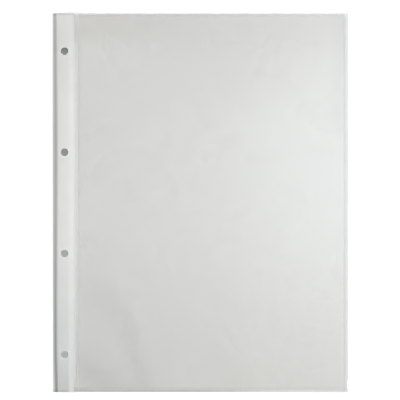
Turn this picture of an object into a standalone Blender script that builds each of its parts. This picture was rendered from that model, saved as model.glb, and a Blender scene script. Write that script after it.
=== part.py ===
"""Four-hole punched pocket: a clear A4 film pocket with a white reinforced binding margin.

The pocket lies on its back: +X runs from the binding margin to the right edge, +Y to the open mouth,
+Z towards the viewer. The origin is the middle of the footprint, on the surface it lies on.
"""

import bmesh
import bpy
from mathutils import Matrix, Vector

MM = 0.001

# Overall size and the binding holes
POCKET_WIDTH = 234.0 * MM
POCKET_HEIGHT = 300.0 * MM
HOLE_COUNT = 4
HOLE_PITCH = 80.0 * MM
HOLE_DIAMETER = 6.0 * MM
HOLE_LINE = 9.7 * MM  # from the left edge
HOLE_SIDES = 32

# Gauges of the film, the tape and the fused edges
FILM = 0.15 * MM
TAPE = 0.25 * MM
WELD = 0.50 * MM
HINGE_FILM = 0.12 * MM
PLY_GAP = 0.10 * MM  # between the plies and the tape of the margin
POCKET_GAP = 0.20 * MM  # between the two panels where they meet a weld

# Widths across the pocket, from the left edge
ROLLED_EDGE = 3.6 * MM
MARGIN_START = 3.9 * MM
TAPE_START = 4.2 * MM
TAPE_END = 17.2 * MM
MARGIN_END = 17.4 * MM
CREASE_START = 17.5 * MM
CREASE_AXIS = 18.2 * MM
CREASE_END = 18.4 * MM
SPINE_WELD_WIDTH = 2.0 * MM
RIGHT_WELD_WIDTH = 2.8 * MM
BOTTOM_WELD_WIDTH = 2.2 * MM
CUT_GAP = 0.1 * MM  # between the hinge film and the spine weld
PANEL_GAP = 0.3 * MM  # between a panel and the welds round it

# Form: the rolled edge holds the margin off the table, the page drapes down from it
MARGIN_LIFT = 1.8 * MM
DRAPE = 70.0 * MM
BULGE = 1.5 * MM  # how far the empty front panel stands off the back one
AXIS_CLEARANCE = 0.1 * MM  # of the page's turning axis over the spine weld
DRAPE_CELLS = 24
BULGE_CELLS = 12

LEFT = -POCKET_WIDTH / 2
TOP = POCKET_HEIGHT / 2
SPINE_START = CREASE_END + CUT_GAP
PANEL_START = SPINE_START + SPINE_WELD_WIDTH + PANEL_GAP
PANEL_END = POCKET_WIDTH - RIGHT_WELD_WIDTH - PANEL_GAP
PANEL_BOTTOM = -TOP + BOTTOM_WELD_WIDTH + PANEL_GAP
MARGIN_THICKNESS = 2 * FILM + TAPE + 2 * PLY_GAP
HINGE_HEIGHT = MARGIN_LIFT + (MARGIN_THICKNESS - HINGE_FILM) / 2

# Each moving body turns about an empty on its joint's axis
PAGE_TURN_AXIS = Vector((LEFT + CREASE_AXIS, 0, MARGIN_LIFT + WELD + AXIS_CLEARANCE))
MOUTH_AXIS = Vector((0, PANEL_BOTTOM, FILM + POCKET_GAP))


def clear_scene():
    for obj in list(bpy.data.objects):
        bpy.data.objects.remove(obj)


def plastic(name, colour, roughness, alpha=1.0):
    material = bpy.data.materials.new(name)
    material.use_nodes = True
    shader = material.node_tree.nodes["Principled BSDF"]
    shader.inputs["Base Color"].default_value = (*colour, 1.0)
    shader.inputs["Roughness"].default_value = roughness
    shader.inputs["Metallic"].default_value = 0.0
    shader.inputs["Alpha"].default_value = alpha
    return material


def parent_place(parent):
    """World place of an empty, found by adding up the chain of empties above it."""
    place = Vector()
    while parent is not None:
        place += parent.location
        parent = parent.parent
    return place


def axis_empty(name, place, parent=None):
    empty = bpy.data.objects.new(name, None)
    bpy.context.scene.collection.objects.link(empty)
    empty.parent = parent
    empty.location = place - parent_place(parent)
    return empty


def film_piece(name, across, along, cells, underside, thickness, material, carrier):
    """A sheet from across[0] to across[1], measured from the left edge, and along[0] to along[1] in Y.

    Its lower face follows underside(x from the left edge, y), and it stands on carrier's origin.
    """
    origin = parent_place(carrier)
    mesh = bpy.data.meshes.new(name)
    grid = bmesh.new()
    bmesh.ops.create_grid(grid, x_segments=cells[0], y_segments=cells[1], size=0.5)
    for vertex in grid.verts:
        x = across[0] + (across[1] - across[0]) * (vertex.co.x + 0.5)
        y = along[0] + (along[1] - along[0]) * (vertex.co.y + 0.5)
        vertex.co = Vector((LEFT + x, y, underside(x, y))) - origin
    lifted = bmesh.ops.extrude_face_region(grid, geom=grid.faces[:])["geom"]
    upper = [element for element in lifted if isinstance(element, bmesh.types.BMVert)]
    bmesh.ops.translate(grid, verts=upper, vec=(0, 0, thickness))
    bmesh.ops.recalc_face_normals(grid, faces=grid.faces[:])
    grid.to_mesh(mesh)
    grid.free()
    mesh.materials.append(material)
    piece = bpy.data.objects.new(name, mesh)
    bpy.context.scene.collection.objects.link(piece)
    piece.parent = carrier
    return piece


def rolled_edge_height(x, y):
    return MARGIN_LIFT * x / ROLLED_EDGE


def drape_height(x, y):
    """Height of the page's back over the table: it falls from the margin and then lies flat."""
    share = min(1.0, max(0.0, (x - SPINE_START) / DRAPE))
    return MARGIN_LIFT * (1 - share) ** 2


def front_panel_height(x, y):
    """The front panel clears the back one by a little at the welds and bulges between them."""
    across = (x - PANEL_START) / (PANEL_END - PANEL_START)
    along = (y - PANEL_BOTTOM) / (TOP - PANEL_BOTTOM)
    swell = 4 * across * (1 - across) * (1 - (1 - along) ** 3)
    return drape_height(x, y) + FILM + POCKET_GAP + BULGE * swell


def level(height):
    """An underside that stays at one height."""
    return lambda x, y: height


def ring_hole_punch():
    """Four upright pins on the hole line, which cut the holes through all plies of the margin."""
    mesh = bpy.data.meshes.new("ring_hole_punch")
    pins = bmesh.new()
    for index in range(HOLE_COUNT):
        y = HOLE_PITCH * (index - (HOLE_COUNT - 1) / 2)
        bmesh.ops.create_cone(
            pins,
            cap_ends=True,
            segments=HOLE_SIDES,
            radius1=HOLE_DIAMETER / 2,
            radius2=HOLE_DIAMETER / 2,
            depth=4 * MARGIN_LIFT,
            matrix=Matrix.Translation((LEFT + HOLE_LINE, y, MARGIN_LIFT)),
        )
    pins.to_mesh(mesh)
    pins.free()
    punch = bpy.data.objects.new("ring_hole_punch", mesh)
    bpy.context.scene.collection.objects.link(punch)
    punch.hide_render = True
    punch.display_type = "WIRE"
    return punch


def punch_holes(piece, punch):
    holes = piece.modifiers.new("ring_holes", "BOOLEAN")
    holes.operation = "DIFFERENCE"
    holes.solver = "EXACT"
    holes.object = punch


def build_margin(clear_film, fused_film, white_tape):
    """The binding margin: rolled outer edge, two plies with the tape between them, and the crease."""
    frame = axis_empty("binding_margin_frame", Vector())
    height = (-TOP, TOP)
    film_piece(
        "outer_edge_weld", (0, ROLLED_EDGE), height, (1, 1), rolled_edge_height, WELD, fused_film, frame
    )
    punch = ring_hole_punch()
    tape_height = MARGIN_LIFT + FILM + PLY_GAP
    layers = (
        ("margin_back_film", MARGIN_START, MARGIN_END, MARGIN_LIFT, FILM, clear_film),
        ("reinforcing_strip", TAPE_START, TAPE_END, tape_height, TAPE, white_tape),
        ("margin_front_film", MARGIN_START, MARGIN_END, tape_height + TAPE + PLY_GAP, FILM, clear_film),
    )
    for name, start, end, base, gauge, material in layers:
        layer = film_piece(name, (start, end), height, (1, 1), level(base), gauge, material, frame)
        punch_holes(layer, punch)
    film_piece(
        "living_hinge",
        (CREASE_START, CREASE_END),
        height,
        (1, 1),
        level(HINGE_HEIGHT),
        HINGE_FILM,
        clear_film,
        frame,
    )
    return frame


def build_page(clear_film, fused_film, margin_frame):
    """The pocket page: welds on three sides, the back panel, and the front panel that opens at the mouth."""
    page = axis_empty("page_turn_axis", PAGE_TURN_AXIS, margin_frame)
    height = (-TOP, TOP)
    spine_end = SPINE_START + SPINE_WELD_WIDTH
    right_start = POCKET_WIDTH - RIGHT_WELD_WIDTH
    film_piece(
        "spine_weld", (SPINE_START, spine_end), height, (1, 1), level(MARGIN_LIFT), WELD, fused_film, page
    )
    film_piece(
        "right_edge_weld", (right_start, POCKET_WIDTH), height, (1, 1), level(0), WELD, fused_film, page
    )
    film_piece(
        "bottom_weld",
        (PANEL_START, PANEL_END),
        (-TOP, -TOP + BOTTOM_WELD_WIDTH),
        (DRAPE_CELLS, 1),
        drape_height,
        WELD,
        fused_film,
        page,
    )
    panel = ((PANEL_START, PANEL_END), (PANEL_BOTTOM, TOP))
    film_piece("back_film", *panel, (DRAPE_CELLS, 1), drape_height, FILM, clear_film, page)
    mouth = axis_empty("mouth_axis", MOUTH_AXIS, page)
    film_piece("front_film", *panel, (DRAPE_CELLS, BULGE_CELLS), front_panel_height, FILM, clear_film, mouth)


def main():
    clear_scene()
    clear_film = plastic("clear_film", (0.78, 0.79, 0.77), 0.30, alpha=0.35)
    fused_film = plastic("fused_film", (0.62, 0.63, 0.62), 0.35, alpha=0.60)
    white_tape = plastic("white_tape", (0.84, 0.86, 0.86), 0.45)
    margin_frame = build_margin(clear_film, fused_film, white_tape)
    build_page(clear_film, fused_film, margin_frame)


main()
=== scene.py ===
"""Looks of a clear four-hole punched pocket lying on a white table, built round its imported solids."""

import math

import bmesh
import bpy
from mathutils import Matrix, Vector
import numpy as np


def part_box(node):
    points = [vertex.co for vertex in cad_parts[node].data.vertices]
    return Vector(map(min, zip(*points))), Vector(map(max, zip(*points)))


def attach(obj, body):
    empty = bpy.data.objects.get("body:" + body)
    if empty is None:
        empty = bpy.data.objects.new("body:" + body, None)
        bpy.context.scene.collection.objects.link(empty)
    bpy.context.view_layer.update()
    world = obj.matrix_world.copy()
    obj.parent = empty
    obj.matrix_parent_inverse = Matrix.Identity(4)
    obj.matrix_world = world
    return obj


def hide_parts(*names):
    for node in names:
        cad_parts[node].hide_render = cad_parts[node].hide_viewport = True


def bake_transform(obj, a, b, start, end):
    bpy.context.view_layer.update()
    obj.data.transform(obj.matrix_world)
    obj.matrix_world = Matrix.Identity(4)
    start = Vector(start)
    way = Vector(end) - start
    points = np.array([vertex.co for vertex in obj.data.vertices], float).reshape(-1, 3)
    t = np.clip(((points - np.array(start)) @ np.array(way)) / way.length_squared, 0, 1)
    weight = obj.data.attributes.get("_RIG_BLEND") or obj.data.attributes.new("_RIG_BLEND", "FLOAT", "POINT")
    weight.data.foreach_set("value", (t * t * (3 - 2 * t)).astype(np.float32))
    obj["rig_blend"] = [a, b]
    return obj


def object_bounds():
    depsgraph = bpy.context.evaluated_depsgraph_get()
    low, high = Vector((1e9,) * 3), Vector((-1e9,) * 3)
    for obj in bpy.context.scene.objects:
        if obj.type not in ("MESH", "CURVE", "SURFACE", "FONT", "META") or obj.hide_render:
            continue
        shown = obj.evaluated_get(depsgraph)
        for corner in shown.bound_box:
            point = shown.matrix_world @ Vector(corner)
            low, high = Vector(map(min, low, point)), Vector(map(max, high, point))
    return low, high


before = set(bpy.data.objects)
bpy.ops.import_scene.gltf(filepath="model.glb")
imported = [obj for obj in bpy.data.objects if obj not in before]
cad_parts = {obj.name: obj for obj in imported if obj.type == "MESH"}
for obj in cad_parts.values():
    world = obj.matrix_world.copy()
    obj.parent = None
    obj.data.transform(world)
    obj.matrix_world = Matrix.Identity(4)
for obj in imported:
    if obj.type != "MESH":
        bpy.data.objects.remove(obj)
cad_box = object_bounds()

# Studio: a plain white table under a weak sky and four low lamps at its corners, which no gloss mirrors.
# Two panels overhead show only as gloss on the film, and a soft spot falls on the table round the foot.
# The photograph is square on to the pocket, so the camera looks straight down with the mouth on top.
MM = 0.001
PHOTO_SIDE = 400
POCKET_WIDTH_PIXELS = 295.3
POCKET_CENTRE_PIXELS = Vector((200.2, 202.8))
POCKET_MIDDLE = (cad_box[0] + cad_box[1]) / 2
PIXEL = (cad_box[1].x - cad_box[0].x) / POCKET_WIDTH_PIXELS
CAMERA_HEIGHT = 1.2
CORNER_LIGHT_SIZE = (0.6, 0.15)
CORNER_LIGHT_END = 2.1
CORNER_LIGHT_SIDES = ((1.3, 0.75, 76.6), (-1.2, 0.64, 51.7))  # place across, height and watts
SHEEN_HEIGHT = 2.5
SHEEN_COLOUR = (0.87, 0.945, 1.0)
SHEENS = (  # place across and along, size and watts
    ("side_sheen", 0.70, 0.12, (1.0, 0.98), 15.6),
    ("middle_sheen", 0.25, 0.085, (1.18, 0.64), 7.9),
)
SKY_COLOUR = (0.96, 0.98, 1.0)
SKY_STRENGTH = 0.26

bpy.context.scene.view_settings.view_transform = "Standard"
bpy.context.scene.cycles.transparent_max_bounces = 32

camera_data = bpy.data.cameras.new("camera")
camera = bpy.data.objects.new("camera", camera_data)
bpy.context.scene.collection.objects.link(camera)
bpy.context.scene.camera = camera
camera_data.lens = camera_data.sensor_width * CAMERA_HEIGHT / (PHOTO_SIDE * PIXEL)
camera.location = (
    POCKET_MIDDLE.x - (POCKET_CENTRE_PIXELS.x - PHOTO_SIDE / 2) * PIXEL,
    POCKET_MIDDLE.y + (POCKET_CENTRE_PIXELS.y - PHOTO_SIDE / 2) * PIXEL,
    CAMERA_HEIGHT,
)


def soft_light(name, place, target, size, watts):
    """An area light at place that faces target, with size as (width, height)."""
    data = bpy.data.lights.new(name, "AREA")
    data.shape = "RECTANGLE"
    data.size, data.size_y = size
    data.energy = watts
    light = bpy.data.objects.new(name, data)
    bpy.context.scene.collection.objects.link(light)
    light.location = place
    light.rotation_euler = (Vector(target) - Vector(place)).to_track_quat("-Z", "Y").to_euler()
    light.visible_camera = False
    return light


for side, height, watts in CORNER_LIGHT_SIDES:
    for end in (CORNER_LIGHT_END, -CORNER_LIGHT_END):
        lamp = soft_light("corner_light", (side, end, height), (0, 0, 0), CORNER_LIGHT_SIZE, watts)
        lamp.visible_glossy = False
for name, side, end, size, watts in SHEENS:
    sheen = soft_light(name, (side, end, SHEEN_HEIGHT), (side, end, 0), size, watts)
    sheen.data.color = SHEEN_COLOUR
    sheen.visible_diffuse = False

world = bpy.data.worlds.new("studio")
world.use_nodes = True
sky = world.node_tree.nodes["Background"]
sky.inputs["Color"].default_value = (*SKY_COLOUR, 1.0)
sky.inputs["Strength"].default_value = SKY_STRENGTH
bpy.context.scene.world = world


class Shade:
    """One output of a material's nodes. Arithmetic on it adds Math nodes."""

    def __init__(self, tree, socket=None):
        self.tree = tree
        self.socket = socket

    def add(self, kind, settings=None, inputs=None, output=0):
        """Adds a node of that kind, sets it up, fills its inputs, and returns one of its outputs."""
        node = self.tree.nodes.new(kind)
        for key, value in (settings or {}).items():
            setattr(node, key, value)
        for key, value in (inputs or {}).items():
            if isinstance(value, Shade):
                self.tree.links.new(value.socket, node.inputs[key])
            else:
                node.inputs[key].default_value = value
        return Shade(self.tree, node.outputs[output])

    def math(self, operation, first, second=0.0):
        return self.add("ShaderNodeMath", {"operation": operation}, {0: first, 1: second})

    def __add__(self, other):
        return self.math("ADD", self, other)

    def __sub__(self, other):
        return self.math("SUBTRACT", self, other)

    def __mul__(self, other):
        return self.math("MULTIPLY", self, other)

    def __radd__(self, other):
        return self.math("ADD", other, self)

    def __rsub__(self, other):
        return self.math("SUBTRACT", other, self)

    def __rmul__(self, other):
        return self.math("MULTIPLY", other, self)


def new_finish(name):
    """A material with its Principled shader, and the Object coordinates that its patterns read."""
    material = bpy.data.materials.new(name)
    material.use_nodes = True
    tree = material.node_tree
    shader = tree.nodes["Principled BSDF"]
    place = Shade(tree).add("ShaderNodeTexCoord", output="Object")
    return material, shader, place


def noise(place, scale, detail=2.0):
    """Soft noise from 0 to 1. scale is how many waves there are in a metre, one number or three."""
    if not isinstance(scale, (int, float)):
        place = place.add("ShaderNodeVectorMath", {"operation": "MULTIPLY"}, {0: place, 1: scale})
        scale = 1.0
    return place.add("ShaderNodeTexNoise", None, {"Vector": place, "Scale": scale, "Detail": detail})


def tint(amount, dark, light):
    """A colour between dark and light."""
    colours = {"Factor": amount, "A": (*dark, 1), "B": (*light, 1)}
    return amount.add("ShaderNodeMix", {"data_type": "RGBA"}, colours, "Result")


def feed(shader, socket, shade):
    shade.tree.links.new(shade.socket, shader.inputs[socket])


TABLE_SIDE = 6.0
TABLE_DROP = 0.03 * MM  # keeps the table's face clear of the film's
TABLE_DARK = (0.86, 0.86, 0.86)
TABLE_LIGHT = (0.88, 0.88, 0.88)
table_mesh = bpy.data.meshes.new("table")
table_shape = bmesh.new()
bmesh.ops.create_grid(
    table_shape,
    x_segments=2,
    y_segments=2,
    size=TABLE_SIDE / 2,
    matrix=Matrix.Translation((0, 0, cad_box[0].z - TABLE_DROP)),
)
table_shape.to_mesh(table_mesh)
table_shape.free()
table = bpy.data.objects.new("table", table_mesh)
bpy.context.scene.collection.objects.link(table)
table_finish, table_shader, table_place = new_finish("table_paint")
feed(table_shader, "Base Color", tint(noise(table_place, 40.0), TABLE_DARK, TABLE_LIGHT))
table_shader.inputs["Roughness"].default_value = 0.9
table_shader.inputs["Specular IOR Level"].default_value = 0.0
table_mesh.materials.append(table_finish)

FOOT_LIGHT_HEIGHT = 1.5
FOOT_LIGHT_REACH = 0.22
FOOT_LIGHT_INSET = 10 * MM  # from the pocket's left edge
foot_light_data = bpy.data.lights.new("foot_light", "SPOT")
foot_light_data.energy = 18
foot_light_data.spot_size = 2 * math.atan(FOOT_LIGHT_REACH / FOOT_LIGHT_HEIGHT)
foot_light_data.spot_blend = 1.0
foot_light_data.shadow_soft_size = 0.05
foot_light = bpy.data.objects.new("foot_light", foot_light_data)
bpy.context.scene.collection.objects.link(foot_light)
foot_light.location = (cad_box[0].x + FOOT_LIGHT_INSET, cad_box[0].y, FOOT_LIGHT_HEIGHT)
foot_light.visible_camera = False
foot_light.visible_glossy = False
table_only = bpy.data.collections.new("table_only")
table_only.objects.link(table)
foot_light.light_linking.receiver_collection = table_only


# Outer edge: the two plies of clear film, fused together and rolled down to the table by the heat.
# The melted plastic has no white tape behind it. It is painted darker along a line across it, at its two
# ends and towards the foot, as painted shade that makes it read dark grey.
# The line where it turns up into the flat margin wanders a little along the edge.
LEFT = cad_box[0].x
TOP = cad_box[1].y
SMOOTH_ANGLE = math.radians(40)
FOLD_PLACE = 4.1 * MM
FOLD_WANDER = 0.3 * MM
FOLD_WAVE = 250 * MM
FOLD_WAVE_START = 45 * MM
FOLD_LEAN = 0.003
FOOT_FLARE = 0.9 * MM  # how much wider the rolled edge is at the foot
FOOT_FLARE_LENGTH = 35 * MM
ROLL_SLOPE = 0.14
MOUTH_RISE = 0.15  # how much higher the margin stands at the mouth than at its middle
END_LENGTH = 25 * MM  # of each end, which leans down to the table
END_STANDING = 0.1
PRESSED_LENGTH = 3.5 * MM
PRESSED_SHARE = 0.3
EDGE_THICKNESS = 0.1 * MM
FOLD_THICKNESS = 0.59 * MM
CREST = 0.58  # place across the rolled edge where its painted shade is darkest
FILM_IOR = 1.49
GRAIN_DEPTH = 0.04 * MM


def slab(name, across, along, cells, underside, top, body, finish):
    """A closed sheet between two height functions of (distance from the left edge, y).

    It rides on body, unless that is None: then it is blended between two bodies afterwards.
    """
    mesh = bpy.data.meshes.new(name)
    grid = bmesh.new()
    bmesh.ops.create_grid(grid, x_segments=cells[0], y_segments=cells[1], size=0.5)
    raised = bmesh.ops.extrude_face_region(grid, geom=grid.faces[:])["geom"]
    upper = {element for element in raised if isinstance(element, bmesh.types.BMVert)}
    for vertex in grid.verts:
        y = along[0] + (along[1] - along[0]) * (vertex.co.y + 0.5)
        start, end = (side(y) if callable(side) else side for side in across)
        x = start + (end - start) * (vertex.co.x + 0.5)
        height = top if vertex in upper else underside
        vertex.co = (LEFT + x, y, height(x, y))
    bmesh.ops.recalc_face_normals(grid, faces=grid.faces[:])
    grid.to_mesh(mesh)
    grid.free()
    mesh.shade_smooth()
    mesh.set_sharp_from_angle(angle=SMOOTH_ANGLE)
    mesh.materials.append(finish)
    piece = bpy.data.objects.new(name, mesh)
    bpy.context.scene.collection.objects.link(piece)
    if body:
        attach(piece, body)
    return piece


def smooth(low, high, value):
    """Rises smoothly from zero where value is low to one where it is high."""
    share = min(1.0, max(0.0, (value - low) / (high - low)))
    return share * share * (3 - 2 * share)


def fold_line(y):
    """Where the rolled edge turns up into the margin, measured from the left edge."""
    wander = FOLD_WANDER * math.cos(2 * math.pi * (y - FOLD_WAVE_START) / FOLD_WAVE)
    flare = FOOT_FLARE * (1 - smooth(0.0, FOOT_FLARE_LENGTH, y + TOP))
    return FOLD_PLACE + wander - FOLD_LEAN * y + flare


def standing(y):
    """How far the margin stands up at y: more towards the mouth, less where its ends lie down."""
    lying_ends = END_STANDING + (1 - END_STANDING) * smooth(0.0, END_LENGTH, TOP - abs(y))
    return (1 + MOUTH_RISE * y / TOP) * lying_ends


def pressed(y):
    """Share of its thickness that the margin keeps at y: the cut presses its plies together at the ends."""
    return PRESSED_SHARE + (1 - PRESSED_SHARE) * smooth(0.0, PRESSED_LENGTH, TOP - abs(y))


def margin_lift(y):
    """Height of the margin's back over the table along the fold line."""
    return ROLL_SLOPE * fold_line(y) * standing(y)


def rolled(x, y):
    """How far the rolled edge has climbed at x, from none at the cut to one at the fold line."""
    share = x / fold_line(y)
    return 0.7 * share + 0.3 * smooth(0.0, 1.0, share)


def rolled_underside(x, y):
    return margin_lift(y) * rolled(x, y)


def rolled_top(x, y):
    fold_top = margin_lift(y) + FOLD_THICKNESS * pressed(y)
    return EDGE_THICKNESS + (fold_top - EDGE_THICKNESS) * rolled(x, y)


def darken(colour, amount, shadow=(0, 0, 0)):
    """The colour at full strength where amount is zero, and the shadow's colour where it is one."""
    colours = {"Factor": amount, "A": colour, "B": (*shadow, 1)}
    return colour.add("ShaderNodeMix", {"data_type": "RGBA"}, colours, "Result")


def dim(piece, amount):
    """Stores how much darker the piece's finish is at each point: amount(from the left edge, y)."""
    dimness = piece.data.attributes.new("dimness", "FLOAT", "POINT")
    for vertex, point in zip(piece.data.vertices, dimness.data):
        point.value = amount(vertex.co.x - LEFT, vertex.co.y)


def grain(place, scale, detail, strength):
    """The fine bump of an embossed surface."""
    relief = {"Strength": strength, "Distance": GRAIN_DEPTH, "Height": noise(place, scale, detail)}
    return place.add("ShaderNodeBump", None, relief)


def film_finish(name, dark, light, alpha, gloss=1.0, roughness=0.27, dimmed=False):
    """Clear polypropylene: faint haze, lines along the web from the extruder, and a fine grain."""
    finish, shader, place = new_finish(name)
    haze = noise(place, 22.0, 3.0)
    web_lines = noise(place, (420.0, 6.0, 1.0))
    colour = tint(haze * 0.6 + web_lines * 0.4, dark, light)
    if dimmed:
        dimness = place.add("ShaderNodeAttribute", {"attribute_name": "dimness"}, output="Fac")
        colour = darken(colour, dimness)
    feed(shader, "Base Color", colour)
    feed(shader, "Roughness", roughness + (haze - 0.5) * 0.10)
    feed(shader, "Normal", grain(place, 1500.0, 1.0, 0.08))
    shader.inputs["Alpha"].default_value = alpha
    shader.inputs["IOR"].default_value = FILM_IOR
    shader.inputs["Specular IOR Level"].default_value = gloss
    shader.inputs["Coat Weight"].default_value = gloss
    shader.inputs["Coat Roughness"].default_value = roughness
    return finish


def painted_edge_shade(x, y):
    """The roll is painted darker along its crest, at its two ends and towards the foot: painted shade."""
    share = x / fold_line(y)
    foot = 1 - smooth(0.0, 150 * MM, y + TOP)
    crest = smooth(-0.1 + 0.1 * foot, CREST, share) * (1 - smooth(CREST, 1.18 - 0.08 * foot, share))
    ends = 1 - smooth(0.0, 3 * MM, TOP - abs(y))
    return (0.40 + 0.20 * foot) * crest + 0.15 * ends


EDGE_DARK = (0.65, 0.645, 0.635)
EDGE_LIGHT = (0.73, 0.725, 0.715)
fused_edge = film_finish("fused_edge", EDGE_DARK, EDGE_LIGHT, alpha=0.75, gloss=0.2, dimmed=True)
outer_edge = slab(
    "rolled_outer_edge",
    across=(0.0, fold_line),
    along=(-TOP, TOP),
    cells=(16, 200),
    underside=rolled_underside,
    top=rolled_top,
    body="binding_margin",
    finish=fused_edge,
)
# painted shade on the rolled edge
dim(outer_edge, painted_edge_shade)
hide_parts("outer_edge_weld")


# Margin back ply: clear film behind the white tape, welded to the front ply along the rolled edge.
# It is punched with the tape, so a ring goes through all three layers at once.
FILM = 0.15 * MM
SEAM_GAP = 0.02 * MM
MARGIN_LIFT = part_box("margin_back_film")[0].z
MARGIN_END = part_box("margin_front_film")[1].x - LEFT
MARGIN_CELLS = (12, 150)
CROWN = 1.0 * MM  # rise of the margin's back from the fold line to the page
HOLE_LINE = 9.7 * MM  # from the left edge
HOLE_DIAMETER = 6.0 * MM
HOLE_PITCH = 80.0 * MM
HOLE_COUNT = 4
HOLE_SIDES = 64
PIN_LENGTH = 10 * MM


def punch(piece):
    """Cuts the ring holes through a layer of the margin."""
    pins = bmesh.new()
    for index in range(HOLE_COUNT):
        y = HOLE_PITCH * (index - (HOLE_COUNT - 1) / 2)
        bmesh.ops.create_cone(
            pins,
            cap_ends=True,
            segments=HOLE_SIDES,
            radius1=HOLE_DIAMETER / 2,
            radius2=HOLE_DIAMETER / 2,
            depth=PIN_LENGTH,
            matrix=Matrix.Translation((LEFT + HOLE_LINE, y, MARGIN_LIFT)),
        )
    mesh = bpy.data.meshes.new("ring_hole_pins")
    pins.to_mesh(mesh)
    pins.free()
    cutter = bpy.data.objects.new("ring_hole_pins", mesh)
    bpy.context.scene.collection.objects.link(cutter)
    holes = piece.modifiers.new("ring_holes", "BOOLEAN")
    holes.operation = "DIFFERENCE"
    holes.solver = "EXACT"
    holes.object = cutter
    bpy.context.view_layer.update()
    punched = bpy.data.meshes.new_from_object(piece.evaluated_get(bpy.context.evaluated_depsgraph_get()))
    piece.modifiers.remove(holes)
    piece.data = punched
    bpy.data.objects.remove(cutter)
    punched.shade_smooth()
    punched.set_sharp_from_angle(angle=SMOOTH_ANGLE)


def margin_underside(x, y):
    """The margin climbs away from the fold line, is crowned across, and levels out towards the page."""
    share = (x - fold_line(y)) / (MARGIN_END - fold_line(y))
    return margin_lift(y) + standing(y) * (2 * share - share * share) * CROWN


def above_margin(height):
    return lambda x, y: margin_underside(x, y) + height * pressed(y)


def margin_start(y):
    return fold_line(y) + SEAM_GAP


FILM_DARK = (0.443, 0.431, 0.398)
FILM_LIGHT = (0.513, 0.501, 0.468)
FILM_ALPHA = 0.17
clear_film = film_finish("clear_film", FILM_DARK, FILM_LIGHT, alpha=FILM_ALPHA)
back_ply = slab(
    "margin_back_ply",
    across=(margin_start, MARGIN_END),
    along=(-TOP, TOP),
    cells=MARGIN_CELLS,
    underside=above_margin(0.0),
    top=above_margin(FILM),
    body="binding_margin",
    finish=clear_film,
)
punch(back_ply)
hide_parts("margin_back_film")


# Reinforcing strip: opaque white polypropylene tape that keeps the ring holes from tearing.
# It is cut from a roll, which leaves fine lengthwise lines, and a band beside the page is painted whiter as
# a highlight.
# The punch leaves a pale bruise at each hole. The lower end, the foot, the part towards the mouth and the
# edge beside the page are painted darker as shade.
TAPE = 0.25 * MM
PLY_GAP = 0.02 * MM
TAPE_BASE = FILM + PLY_GAP
TAPE_DARK = (0.775, 0.78, 0.785)
TAPE_LIGHT = (0.895, 0.90, 0.905)
# colour that the painted shade on the tape's lower half darkens towards
TAPE_SHADOW = (0.0, 0.12, 0.12)
LIT_BAND = 12.9 * MM  # from the left edge, where the band painted whiter as a highlight begins
LIT_BAND_BLUR = 0.6 * MM
PAGE_EDGE = 2.4 * MM  # width of the painted shade along the edge beside the page
FOOT = 28 * MM  # length of the foot that is painted darker as shade
BRUISE = 2.5 * MM  # width of the pale ring round a hole


def step(shade, low, high):
    """Rises smoothly from zero where shade is low to one where it is high."""
    limits = {"Value": shade, "From Min": low, "From Max": high}
    return shade.add("ShaderNodeMapRange", {"interpolation_type": "SMOOTHSTEP"}, limits)


def tape_finish():
    finish, shader, place = new_finish("white_tape")
    lines = noise(place, (900.0, 10.0, 1.0))
    cloud = noise(place, 60.0, 3.0)
    across = place.add("ShaderNodeSeparateXYZ", None, {"Vector": place}, "X")
    along = place.add("ShaderNodeSeparateXYZ", None, {"Vector": place}, "Y")
    # painted highlight: the band beside the page is whiter
    lit_band = step(across, LEFT + LIT_BAND - LIT_BAND_BLUR, LEFT + LIT_BAND + LIT_BAND_BLUR)
    edge = step(across, LEFT + MARGIN_END - PAGE_EDGE, LEFT + MARGIN_END)
    foot = 1 - step(along, -TOP, -TOP + FOOT)
    lower = 1 - step(along, -140 * MM, -10 * MM)
    mouth = step(along, 60 * MM, TOP)
    cut = step(along, TOP - 1.6 * MM, TOP - 0.8 * MM)
    seal = step(along, -TOP, -TOP + 0.8 * MM) * (1 - step(along, -TOP + 1.0 * MM, -TOP + 1.7 * MM))
    half_pitch = HOLE_PITCH / 2
    wrapped = {0: along + half_pitch, 1: half_pitch, 2: -half_pitch}
    from_hole = along.add("ShaderNodeMath", {"operation": "WRAP"}, wrapped)
    from_line = across - (LEFT + HOLE_LINE)
    reach = place.math("SQRT", from_line * from_line + from_hole * from_hole)
    bruise = 1 - step(reach, HOLE_DIAMETER / 2, HOLE_DIAMETER / 2 + BRUISE)
    white = tint(lines * 0.35 + cloud * 0.35 + lit_band * 0.3 + bruise * 0.5, TAPE_DARK, TAPE_LIGHT)
    # Painted shade: darker over the lower half, towards the mouth, along the page edge and at the foot; the
    # cut and seal lines are real.
    white = darken(white, lower * (0.19 - lit_band * 0.05), TAPE_SHADOW)
    painted_tape_shade = mouth * 0.10 + edge * (0.06 + 0.03 * mouth)
    cut_seal_and_foot_shade = foot * (0.20 - lit_band * 0.15) + cut * 0.2 + seal * (1 - lit_band) * 0.25
    feed(shader, "Base Color", darken(white, painted_tape_shade + cut_seal_and_foot_shade))
    feed(shader, "Roughness", 0.42 + (cloud - 0.5) * 0.15)
    feed(shader, "Normal", grain(place, 1200.0, 2.0, 0.1))
    return finish


strip = slab(
    "white_reinforcing_strip",
    across=(margin_start, MARGIN_END),
    along=(-TOP, TOP),
    cells=MARGIN_CELLS,
    underside=above_margin(TAPE_BASE),
    top=above_margin(TAPE_BASE + TAPE),
    body="binding_margin",
    finish=tape_finish(),
)
punch(strip)
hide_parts("reinforcing_strip")


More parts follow.
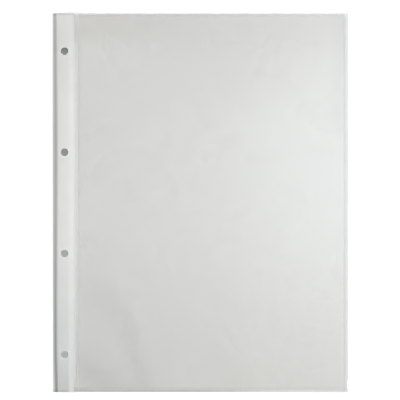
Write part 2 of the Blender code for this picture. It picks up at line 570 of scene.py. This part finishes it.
# Margin front ply: the same clear film as the pocket, laminated over the tape and punched with it.
# It gives the white margin its gloss.
FRONT_PLY_BASE = TAPE_BASE + TAPE + PLY_GAP
front_ply = slab(
    "margin_front_ply",
    across=(margin_start, MARGIN_END),
    along=(-TOP, TOP),
    cells=MARGIN_CELLS,
    underside=above_margin(FRONT_PLY_BASE),
    top=above_margin(FRONT_PLY_BASE + FILM),
    body="binding_margin",
    finish=clear_film,
)
punch(front_ply)
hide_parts("margin_front_film")


# Living hinge: bare film between the tape and the spine weld, creased so that the page turns on it.
# It bends between the margin and the page, and steps down from the taped margin to the thinner page.
CREASE_START = MARGIN_END + SEAM_GAP
SPINE_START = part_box("spine_weld")[0].x - LEFT
CREASE_END = SPINE_START - SEAM_GAP
CREASE_HOLLOW = 0.1 * MM  # how far its underside is set up from the margin's back
MARGIN_THICKNESS = FRONT_PLY_BASE + FILM
WELD = 0.34 * MM
LOWER_LENGTH = 220 * MM  # over which painted shade on the film deepens down to the foot


def spine_underside(y):
    return margin_underside(MARGIN_END, y)


def crease_underside(x, y):
    return spine_underside(y) + CREASE_HOLLOW * pressed(y)


def crease_top(x, y):
    fall = smooth(CREASE_START, CREASE_END, x)
    return spine_underside(y) + (MARGIN_THICKNESS + (WELD - MARGIN_THICKNESS) * fall) * pressed(y)


def seal_and_painted_shade(x, y):
    """Denser at the foot, where the crease and the spine are sealed, plus painted shade that deepens down to
    the foot and near the mouth.
    """
    foot = 0.6 * (1 - smooth(0.0, 4 * MM, y + TOP)) + 0.15 * (1 - smooth(2 * MM, 14 * MM, y + TOP))
    lower = 0.1 * (1 - smooth(0.0, LOWER_LENGTH, y + TOP))
    mouth = 0.12 * (1 - smooth(5 * MM, 40 * MM, TOP - y))
    return foot + lower + mouth


# The creased film is painted paler than the clear film: painted light that offsets the margin's shadow on
# the table seen through it.
CREASE_DARK = (0.71, 0.71, 0.695)
CREASE_LIGHT = (0.79, 0.79, 0.775)
creased_film = film_finish("creased_film", CREASE_DARK, CREASE_LIGHT, alpha=0.30, dimmed=True)
crease = slab(
    "creased_hinge_film",
    across=(CREASE_START, CREASE_END),
    along=(-TOP, TOP),
    cells=(8, 150),
    underside=crease_underside,
    top=crease_top,
    body=None,
    finish=creased_film,
)
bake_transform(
    crease,
    "binding_margin",
    "pocket_page",
    start=(LEFT + CREASE_START, 0, MARGIN_LIFT),
    end=(LEFT + CREASE_END, 0, MARGIN_LIFT),
)
# painted shade on the crease towards the foot and the mouth
dim(crease, seal_and_painted_shade)
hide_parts("living_hinge")


# Spine weld: a hot bar presses both films together beside the tape and closes the pocket on the left.
# The bar leaves a flat band with a bead on each side.
SPINE_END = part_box("spine_weld")[1].x - LEFT
SPINE_LEAN = 0.1 * MM  # how much thicker the band is beside the crease
DRAPE = 110.0 * MM
BEAD = 0.06 * MM


def drape(x, y):
    """Height of the page's back: it falls from the margin to the table and then lies flat."""
    share = min(1.0, max(0.0, (x - SPINE_START) / DRAPE))
    return spine_underside(y) * (1 - share) ** 2


def bead(offset, middle, half_width):
    """A round bead of melted film, highest at its middle and gone beyond its half width."""
    share = min(1.0, abs(offset - middle) / half_width)
    return BEAD * (1 - share * share) ** 2


def spine_top(x, y):
    lean = SPINE_LEAN * (SPINE_END - x) / (SPINE_END - SPINE_START)
    beads = bead(x, SPINE_START + 0.6 * MM, 0.5 * MM) + bead(x, SPINE_END - 0.5 * MM, 0.4 * MM)
    return drape(x, y) + WELD + lean + beads


def pressed_seal_and_painted_shade(x, y):
    """The crease's seal and shade, with more painted shade down to the foot and right at the mouth."""
    lower = 0.24 * (1 - smooth(0.0, LOWER_LENGTH, y + TOP))
    mouth = 0.3 * (1 - smooth(1 * MM, 6 * MM, TOP - y))
    return seal_and_painted_shade(x, y) + lower + mouth


# The pressed band is painted paler than the clear film: painted light that offsets the margin's shadow on
# the table seen through it.
SPINE_DARK = (0.57, 0.565, 0.54)
SPINE_LIGHT = (0.64, 0.635, 0.61)
pressed_film = film_finish("pressed_film", SPINE_DARK, SPINE_LIGHT, alpha=0.25, dimmed=True)
spine = slab(
    "spine_weld_band",
    across=(SPINE_START, SPINE_END),
    along=(-TOP, TOP),
    cells=(16, 150),
    underside=drape,
    top=spine_top,
    body="pocket_page",
    finish=pressed_film,
)
# painted shade on the spine weld towards the foot and the mouth
dim(spine, pressed_seal_and_painted_shade)
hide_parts("spine_weld")


# Back panel: the rear sheet of clear film. It hangs from the spine weld and lies flat on the table.
# A hot knife cuts it off at the mouth, which leaves a narrow denser rim beside the cut.
RIGHT_WELD_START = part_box("right_edge_weld")[0].x - LEFT
BOTTOM_WELD_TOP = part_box("bottom_weld")[1].y
PANEL_START = SPINE_END + SEAM_GAP
PANEL_END = RIGHT_WELD_START - SEAM_GAP
PANEL_BOTTOM = BOTTOM_WELD_TOP + SEAM_GAP
MOUTH_RIM = (0.8 * MM, 2.1 * MM)  # from the cut


def hot_cut(piece, finish):
    """Gives the edge at the mouth the narrow rim that a hot knife leaves."""
    shape = bmesh.new()
    shape.from_mesh(piece.data)
    for inset in MOUTH_RIM:
        everything = shape.verts[:] + shape.edges[:] + shape.faces[:]
        bmesh.ops.bisect_plane(shape, geom=everything, plane_co=(0, TOP - inset, 0), plane_no=(0, 1, 0))
    for face in shape.faces:
        face.material_index = int(MOUTH_RIM[0] < TOP - face.calc_center_median().y < MOUTH_RIM[1])
    shape.to_mesh(piece.data)
    shape.free()
    piece.data.materials.append(finish)


RIM_DARK = (0.42, 0.415, 0.39)
RIM_LIGHT = (0.49, 0.485, 0.46)
mouth_rim = film_finish("mouth_rim", RIM_DARK, RIM_LIGHT, alpha=0.215)
back = slab(
    "back_panel",
    across=(PANEL_START, PANEL_END),
    along=(PANEL_BOTTOM, TOP),
    cells=(60, 30),
    underside=drape,
    top=lambda x, y: drape(x, y) + FILM,
    body="pocket_page",
    finish=clear_film,
)
hot_cut(back, mouth_rim)
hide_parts("back_film")


# Right edge weld: both films cut and sealed by a hot blade, which leaves a narrow flat band.
# A bead runs along the pocket side of the band and another along the cut, and the band thins outwards.
POCKET_WIDTH = cad_box[1].x - LEFT
CUT_TAPER = 0.12 * MM
EAR_DEPTH = 0.7 * MM
EAR_NOTCH = 6 * MM  # height of the notch over the foot
EAR_NOTCH_REACH = 5 * MM


def right_weld_top(x, y):
    inner = bead(x, RIGHT_WELD_START + 0.5 * MM, 0.45 * MM)
    cut = bead(x, POCKET_WIDTH - 0.4 * MM, 0.4 * MM)
    return WELD - CUT_TAPER * (x - RIGHT_WELD_START) / (POCKET_WIDTH - RIGHT_WELD_START) + inner + cut


def right_cut(y):
    """The cut runs in by a little just above the foot, and leaves a small ear at the corner."""
    return POCKET_WIDTH - EAR_DEPTH * (1 - smooth(0.0, EAR_NOTCH_REACH, abs(y + TOP - EAR_NOTCH)))


def inner_seal(x, y):
    """The seal is densest in a line beside its bead on the pocket side."""
    return 0.25 * (1 - smooth(0.0, 0.8 * MM, abs(x - RIGHT_WELD_START - 1.2 * MM)))


BLADE_DARK = (0.26, 0.253, 0.24)
BLADE_LIGHT = (0.31, 0.303, 0.29)
blade_seal = film_finish("blade_seal", BLADE_DARK, BLADE_LIGHT, alpha=0.195, dimmed=True)
right_weld = slab(
    "right_weld_band",
    across=(RIGHT_WELD_START, right_cut),
    along=(-TOP, TOP),
    cells=(20, 300),
    underside=lambda x, y: 0.0,
    top=right_weld_top,
    body="pocket_page",
    finish=blade_seal,
)
hot_cut(right_weld, mouth_rim)
dim(right_weld, inner_seal)
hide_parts("right_edge_weld")


# Bottom weld: the same kind of seal along the foot of the pocket, where a sheet comes to rest.
# It shows as a double line, which is pressed hardest beside the margin and fades out to the right.
SEAL_DENSITY = 0.13
SEAL_LINES = (  # height over the foot, half width and density
    (2.1 * MM, 0.5 * MM, 0.2),
    (0.85 * MM, 0.65 * MM, 0.65),
)
SEAL_FADE = (110 * MM, 185 * MM)  # from the left edge


def bottom_weld_top(x, y):
    inner = bead(y, BOTTOM_WELD_TOP - 0.4 * MM, 0.4 * MM)
    cut = bead(y, -TOP + 0.5 * MM, 0.45 * MM)
    return drape(x, y) + WELD - CUT_TAPER * (BOTTOM_WELD_TOP - y) / (BOTTOM_WELD_TOP + TOP) + inner + cut


def double_line(x, y):
    """The two lines of the seal are denser than its band."""
    density = SEAL_DENSITY
    for height, half_width, share in SEAL_LINES:
        density += share * (1 - smooth(0.0, half_width, abs(y + TOP - height)))
    return density * (1 - smooth(*SEAL_FADE, x))


SEAL_DARK = (0.51, 0.505, 0.48)
SEAL_LIGHT = (0.58, 0.575, 0.55)
fused_film = film_finish("fused_film", SEAL_DARK, SEAL_LIGHT, alpha=0.36, dimmed=True)
bottom_weld = slab(
    "bottom_weld_band",
    across=(PANEL_START, PANEL_END),
    along=(-TOP, BOTTOM_WELD_TOP),
    cells=(100, 16),
    underside=drape,
    top=bottom_weld_top,
    body="pocket_page",
    finish=fused_film,
)
dim(bottom_weld, double_line)
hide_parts("bottom_weld")


# Front panel: the sheet of clear film that faces the reader, sealed on three sides and free at the mouth.
# The empty pocket holds a little air, and the film buckles and has two pleats in its lower left corner.
# At the mouth it bows away from the back panel while its sealed sides stay down.
POCKET_GAP = 0.03 * MM
BULGE = 2.2 * MM
PLEAT_RISE = 0.15 * MM
SEALED_REACH = (8 * MM, 6 * MM)  # from the spine and the bottom weld, which hold the pleats down
INNER_BUCKLE = (61 * MM, 98 * MM)


def buckle(x, y, width, height, start):
    """A soft step in the film along an oval round the bottom left corner: one inside it, none outside."""
    reach = math.hypot((x - PANEL_START) / width, (y - PANEL_BOTTOM) / height)
    return 1 - smooth(start, 1.0, reach)


def pleat(x, y, turn, distance, half_width):
    """A straight pleat across the bottom left corner: one along its line, none beyond its half width."""
    reach = (x - PANEL_START) * math.cos(turn) + (y - PANEL_BOTTOM) * math.sin(turn)
    share = min(1.0, abs(reach - distance) / half_width)
    return (1 - share * share) ** 2


def corner_pleats(x, y):
    """Both pleats run down to the bottom weld, and the steeper one fades out upwards."""
    fade = 1 - smooth(45 * MM, 85 * MM, y - PANEL_BOTTOM)
    steep = pleat(x, y, math.radians(17), 52 * MM, 11 * MM) * fade
    slanting = pleat(x, y, math.radians(49), 22 * MM, 12 * MM)
    return steep, slanting


def front_underside(x, y):
    across = (x - PANEL_START) / (PANEL_END - PANEL_START)
    along = (y - PANEL_BOTTOM) / (TOP - PANEL_BOTTOM)
    swell = 4 * across * (1 - across) * (1 - (1 - along) ** 5) * (1 - smooth(0.7, 1.0, along))
    slack = 0.6 * buckle(x, y, *INNER_BUCKLE, 0.65) + 0.10 * buckle(x, y, 142 * MM, 168 * MM, 0.80)
    free = smooth(0.0, SEALED_REACH[0], x - PANEL_START) * smooth(0.0, SEALED_REACH[1], y - PANEL_BOTTOM)
    pleats = PLEAT_RISE * sum(corner_pleats(x, y)) * free
    return drape(x, y) + FILM + POCKET_GAP + BULGE * swell * (1 - slack) + pleats


def painted_film_shade(x, y):
    """How much painted shade darkens the front film: most in the bottom left corner, also in its buckles and
    pleats, beside the right weld and below the mouth.
    """
    around = buckle(x, y, 250 * MM, 330 * MM, 0.0) * smooth(-4 * MM, 6 * MM, x - PANEL_START)
    outer = buckle(x, y, 150 * MM, 135 * MM, 0.75)
    inner = buckle(x, y, *INNER_BUCKLE, 0.85)
    rim = inner - buckle(x, y, 50 * MM, 84 * MM, 0.7)
    corner = buckle(x, y, 46 * MM, 46 * MM, 0.2)
    buckle_shade = 0.25 * around + 0.08 * outer + 0.09 * inner + 0.03 * rim + 0.13 * corner
    steep, slanting = corner_pleats(x, y)
    beside_weld = smooth(PANEL_END - 12 * MM, PANEL_END - 2 * MM, x) * smooth(30 * MM, 80 * MM, y)
    brim = smooth(TOP - 45 * MM, TOP - 8 * MM, y) * smooth(-20 * MM, 60 * MM, x - PANEL_START)
    return buckle_shade + 0.08 * steep + 0.06 * slanting + 0.17 * beside_weld + 0.12 * brim


# The front film carries painted shade, most in its bottom left corner.
front_film = film_finish("front_film", FILM_DARK, FILM_LIGHT, alpha=FILM_ALPHA, dimmed=True)
front = slab(
    "front_panel",
    across=(PANEL_START, PANEL_END),
    along=(PANEL_BOTTOM, TOP),
    cells=(140, 200),
    underside=front_underside,
    top=lambda x, y: front_underside(x, y) + FILM,
    body=None,
    finish=front_film,
)
hot_cut(front, mouth_rim)
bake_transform(front, "pocket_page", "front_panel", start=(0, PANEL_BOTTOM, 0), end=(0, TOP, 0))
for vertex, follow in zip(front.data.vertices, front.data.attributes["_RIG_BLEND"].data):
    across = (vertex.co.x - LEFT - PANEL_START) / (PANEL_END - PANEL_START)
    follow.value = math.sin(math.pi * across) ** 2
dim(front, painted_film_shade)
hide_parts("front_film")
